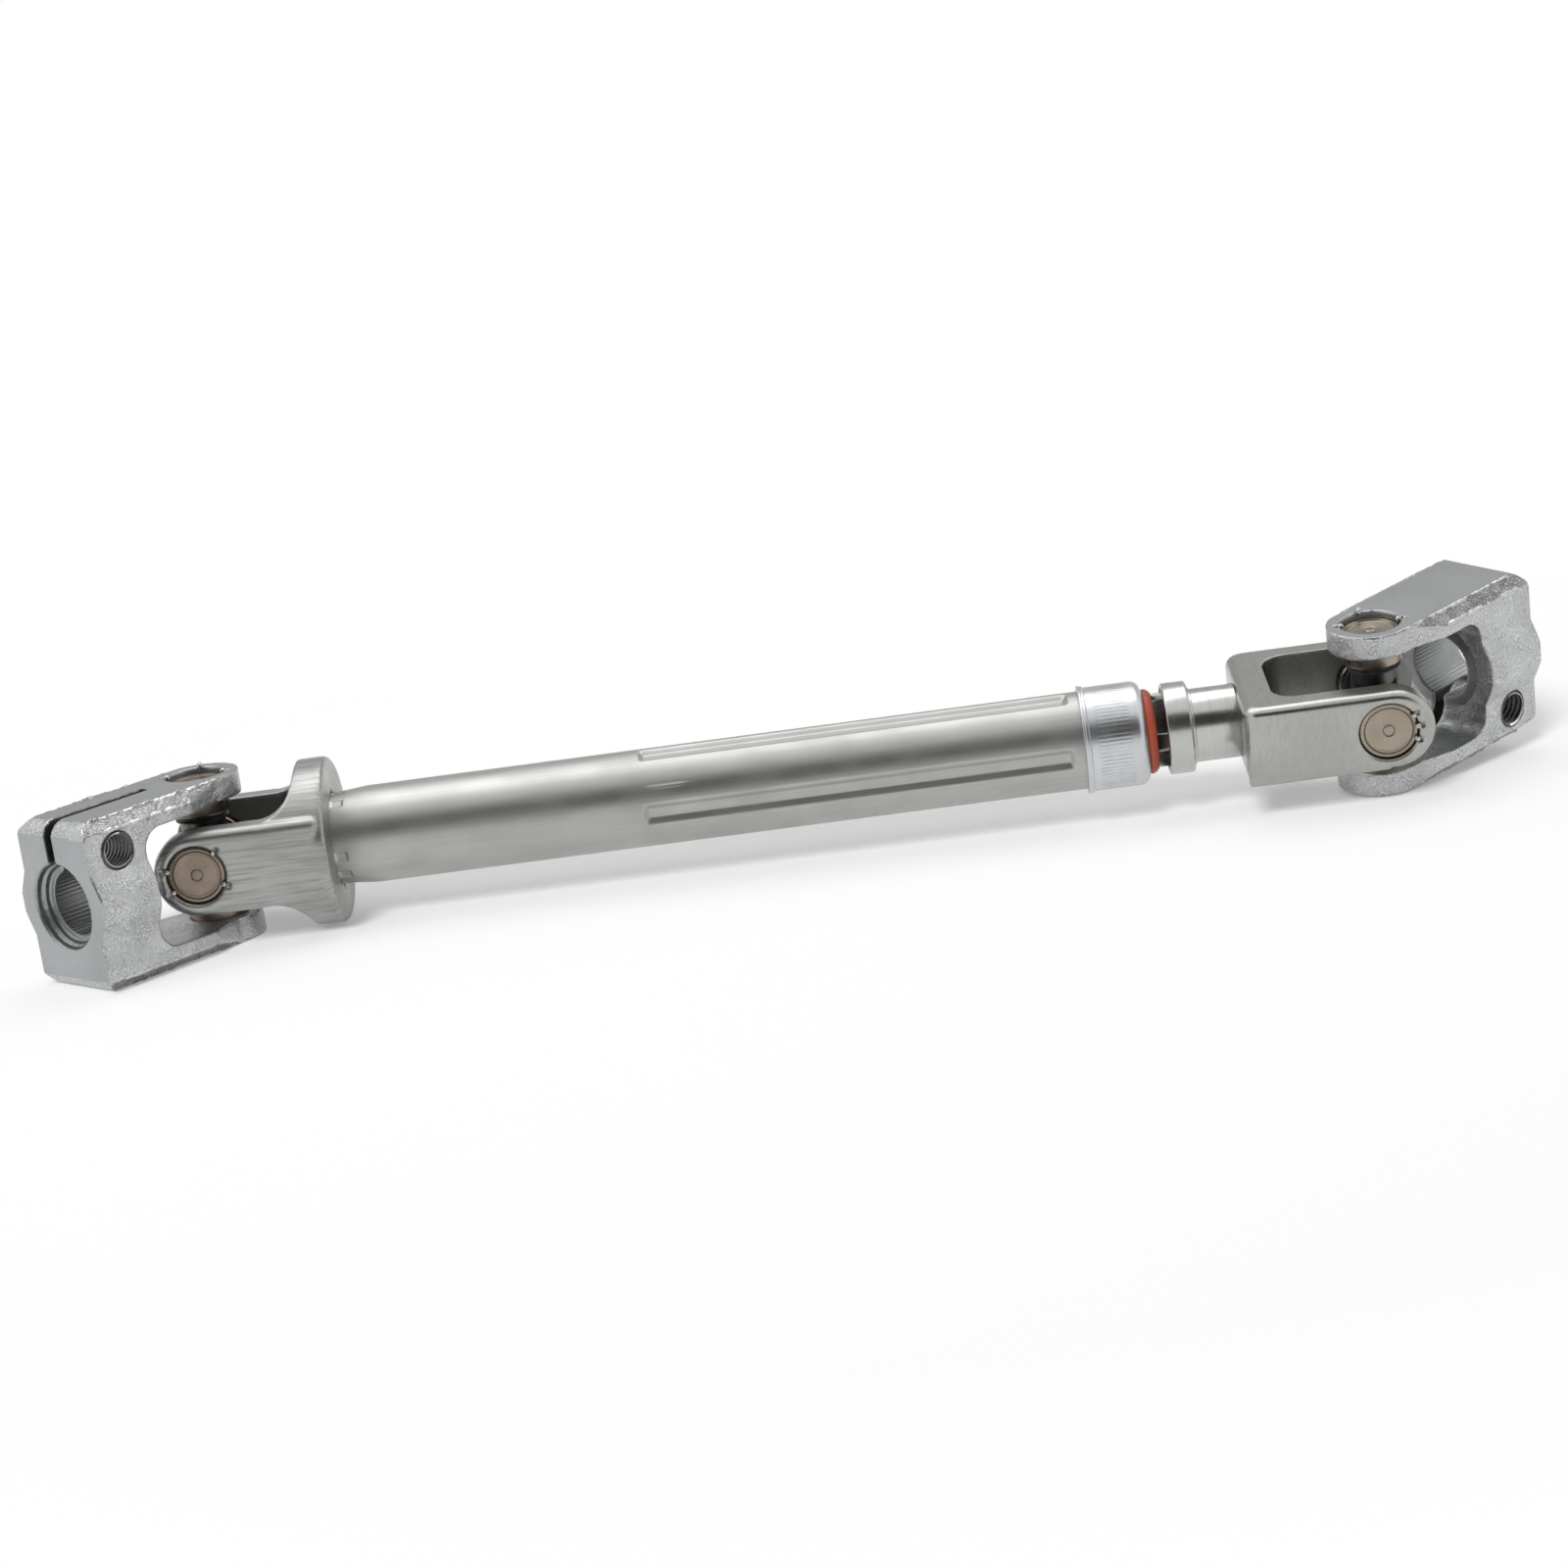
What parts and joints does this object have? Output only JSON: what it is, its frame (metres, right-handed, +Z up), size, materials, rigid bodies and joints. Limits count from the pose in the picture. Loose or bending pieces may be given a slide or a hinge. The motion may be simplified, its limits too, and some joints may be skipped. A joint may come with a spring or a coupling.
{
  "type": "intermediate steering shaft",
  "caption": "Telescopic steering shaft with a cardan joint and a split clamp yoke at each end.",
  "frame": {"origin": "under the centre of the part's box, on the ground it lies on", "axes": "+X along the tube towards the end that slides, +Z up as it lies, so +Y points away from the side seen in the picture"},
  "size_m": [0.4176, 0.096, 0.0543],
  "materials": {
    "drawn_steel": "drawn, satin",
    "turned_steel": "turned, satin",
    "forged_steel": "forged and tumbled, satin",
    "cast_steel": "cast, plated, grainy; machined faces",
    "zinc_sheet": "bright pressed sheet",
    "bearing_cup": "hardened, tan tint",
    "bearing_steel": "ground",
    "seal_rubber": "matt red rubber",
    "black_rubber": "matt black rubber",
    "sleeve_plastic": "moulded, dark"
  },
  "bodies": {
    "tube_assembly": {"tube_yoke": "forged_steel", "outer_tube": "drawn_steel", "slide_sleeve": "sleeve_plastic", "seal_retainer": "zinc_sheet", "wiper_seal": "seal_rubber", "lower_cup_front": "bearing_cup", "lower_cup_rear": "bearing_cup", "lower_needles_front": "bearing_steel", "lower_needles_rear": "bearing_steel"},
    "lower_cross_body": {"lower_cross": "bearing_steel", "lower_seal_front": "black_rubber", "lower_seal_rear": "black_rubber", "lower_seal_top": "black_rubber", "lower_seal_bottom": "black_rubber"},
    "lower_clamp": {"lower_clamp_yoke": "cast_steel", "lower_cup_top": "bearing_cup", "lower_cup_bottom": "bearing_cup", "lower_needles_top": "bearing_steel", "lower_needles_bottom": "bearing_steel"},
    "shaft_assembly": {"inner_shaft": "drawn_steel", "shaft_collar": "turned_steel", "shaft_yoke": "forged_steel", "upper_cup_front": "bearing_cup", "upper_cup_rear": "bearing_cup", "upper_needles_front": "bearing_steel", "upper_needles_rear": "bearing_steel"},
    "upper_cross_body": {"upper_cross": "bearing_steel", "upper_seal_front": "black_rubber", "upper_seal_rear": "black_rubber", "upper_seal_top": "black_rubber", "upper_seal_bottom": "black_rubber"},
    "upper_clamp": {"upper_clamp_yoke": "cast_steel", "upper_cup_top": "bearing_cup", "upper_cup_bottom": "bearing_cup", "upper_needles_top": "bearing_steel", "upper_needles_bottom": "bearing_steel"}
  },
  "joints": [
    {"name": "lower_cross_swing", "type": "hinge", "parent": "tube_assembly", "child": "lower_cross_body", "pos_m": [-0.16226, 0.00123, 0.02331], "axis": [0, 1, -0.0035], "range_deg": [-30, 30]},
    {"name": "lower_clamp_swing", "type": "hinge", "parent": "lower_cross_body", "child": "lower_clamp", "pos_m": [-0.16226, 0.00123, 0.02331], "axis": [-0.0052, 0.0035, 1], "range_deg": [-98.4, 1.6]},
    {"name": "shaft_slide", "type": "slide", "parent": "tube_assembly", "child": "shaft_assembly", "axis": [1, 0, 0.0052], "range_m": [0, 0.05]},
    {"name": "upper_cross_swing", "type": "hinge", "parent": "shaft_assembly", "child": "upper_cross_body", "pos_m": [0.15953, 0.00123, 0.02499], "axis": [-0.0008, 0.9869, 0.1616], "range_deg": [-30, 30]},
    {"name": "upper_clamp_swing", "type": "hinge", "parent": "upper_cross_body", "child": "upper_clamp", "pos_m": [0.15953, 0.00123, 0.02499], "axis": [-0.0052, -0.1616, 0.9868], "range_deg": [-91.5, 8.5]}
  ]
}
